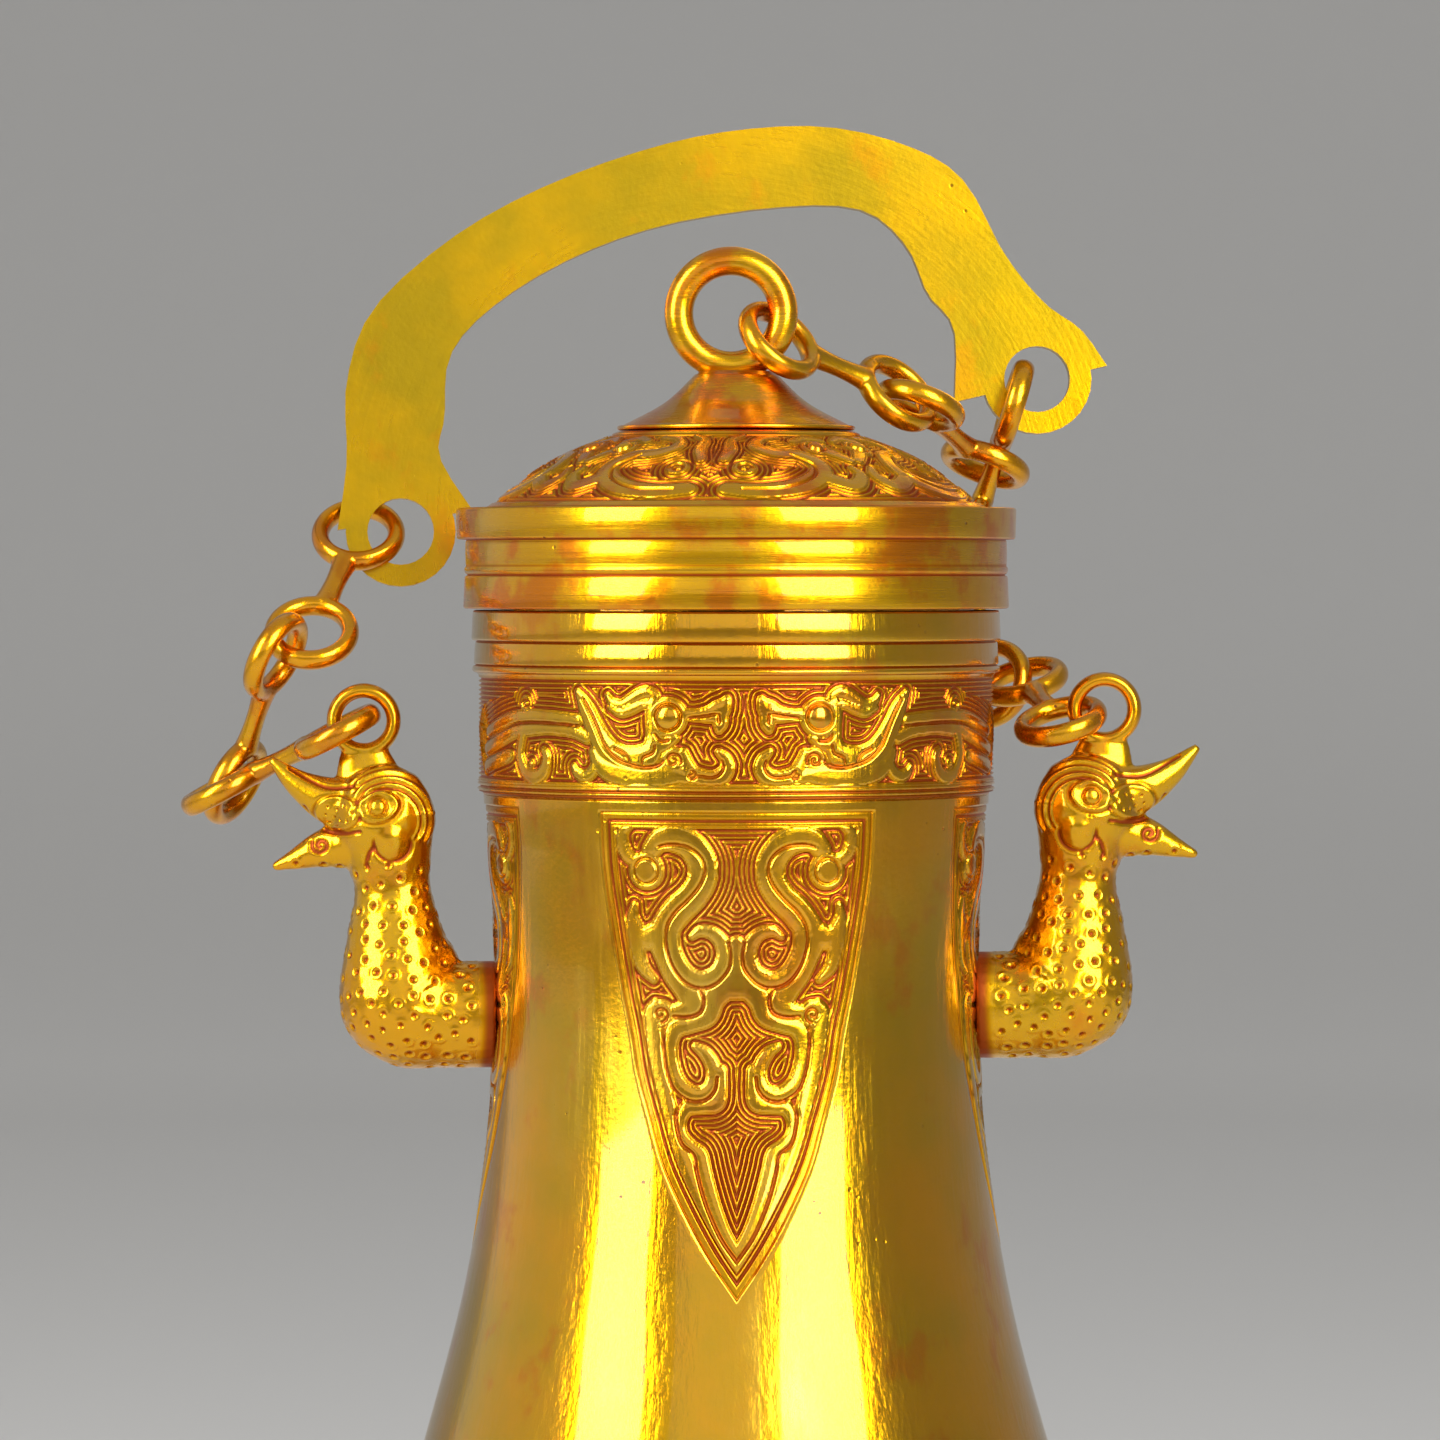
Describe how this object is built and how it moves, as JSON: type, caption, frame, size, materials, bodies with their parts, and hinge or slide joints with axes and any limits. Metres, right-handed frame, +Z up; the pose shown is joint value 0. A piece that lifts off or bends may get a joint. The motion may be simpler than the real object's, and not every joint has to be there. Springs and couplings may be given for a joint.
{
  "type": "lidded flask with chain handle",
  "caption": "Gilt bronze lidded flask with bird-head lugs, a flat arched carrying handle hung on link chains, and a tether chain from the ring on the lid.",
  "frame": {"origin": "middle of the flat underside of the foot", "axes": "+Z up along the axis of the flask, -Y to the front, -X to the left bird"},
  "size_m": [0.1851, 0.152, 0.3753],
  "materials": {
    "gilt_bronze": "polished gilding, darker and browner in the recesses of the relief",
    "satin_brass": "satin, fine brushed",
    "chain_gilt": "polished, orange gold"
  },
  "bodies": {
    "vessel": {"vessel_body": "gilt_bronze", "foot_ring": "gilt_bronze", "base_plate": "gilt_bronze", "left_bird_lug": "gilt_bronze", "right_bird_lug": "gilt_bronze"},
    "lid": {"lid_shell": "gilt_bronze", "lid_collar": "gilt_bronze", "lid_finial": "gilt_bronze"},
    "handle": {"handle": "satin_brass"},
    "left_link_1": {"left_link_1": "chain_gilt"},
    "left_link_2": {"left_link_2": "chain_gilt"},
    "left_link_3": {"left_link_3": "chain_gilt"},
    "right_link_1": {"right_link_1": "chain_gilt"},
    "right_link_2": {"right_link_2": "chain_gilt"},
    "right_link_3": {"right_link_3": "chain_gilt"},
    "lid_link_1": {"lid_link_1": "chain_gilt"},
    "lid_link_2": {"lid_link_2": "chain_gilt"}
  },
  "joints": [
    {"name": "lid_lift", "type": "slide", "parent": "vessel", "child": "lid", "axis": [0, 0, 1], "range_m": [0, 0.003]},
    {"name": "handle_swing", "type": "hinge", "parent": "vessel", "child": "handle", "pos_m": [-0.06934, 0.02543, 0.29992], "axis": [0.9784, 0.0664, 0.1956], "range_deg": [0, 20]},
    {"name": "left_link_1_turn", "type": "hinge", "parent": "handle", "child": "left_link_1", "pos_m": [-0.06934, 0.02543, 0.29992], "axis": [0.9784, 0.0664, 0.1956], "range_deg": [-20, 0]},
    {"name": "right_link_1_turn", "type": "hinge", "parent": "handle", "child": "right_link_1", "pos_m": [0.05127, 0.03362, 0.32403], "axis": [0.9784, 0.0664, 0.1956], "range_deg": [-20, 0]},
    {"name": "left_chain_swing", "type": "hinge", "parent": "vessel", "child": "left_link_2", "pos_m": [-0.07178, 0, 0.26422], "axis": [0.4408, -0.3086, -0.8429], "range_deg": [-12, 12]},
    {"name": "left_link_3_swing", "type": "hinge", "parent": "vessel", "child": "left_link_3", "pos_m": [-0.07178, 0, 0.26422], "axis": [0.4408, -0.3086, -0.8429], "range_deg": [-12, 12]},
    {"name": "right_chain_swing", "type": "hinge", "parent": "vessel", "child": "right_link_2", "pos_m": [0.05838, 0, 0.26616], "axis": [0.2774, -0.7659, -0.58], "range_deg": [-7, 7]},
    {"name": "right_link_3_swing", "type": "hinge", "parent": "vessel", "child": "right_link_3", "pos_m": [0.05838, 0, 0.26616], "axis": [0.2774, -0.7659, -0.58], "range_deg": [-7, 7]},
    {"name": "lid_link_1_turn", "type": "hinge", "parent": "lid", "child": "lid_link_1", "pos_m": [0.00772, 0, 0.33463], "axis": [-0.5241, 0.8517, 0], "range_deg": [0, 4.1]},
    {"name": "lid_link_2_turn", "type": "hinge", "parent": "vessel", "child": "lid_link_2", "pos_m": [0.04625, 0.03667, 0.31312], "axis": [0.8568, -0.5157, 0], "range_deg": [-3.1, 0]}
  ],
  "couplings": [
    {"joint": "left_link_1_turn", "follows": "handle_swing", "ratio": -1},
    {"joint": "right_link_1_turn", "follows": "handle_swing", "ratio": -1},
    {"joint": "left_link_3_swing", "follows": "left_chain_swing", "ratio": 1},
    {"joint": "right_link_3_swing", "follows": "right_chain_swing", "ratio": 1},
    {"joint": "lid_link_1_turn", "follows": "lid_lift", "rad_per_m": 23},
    {"joint": "lid_link_2_turn", "follows": "lid_lift", "rad_per_m": -16.98}
  ]
}
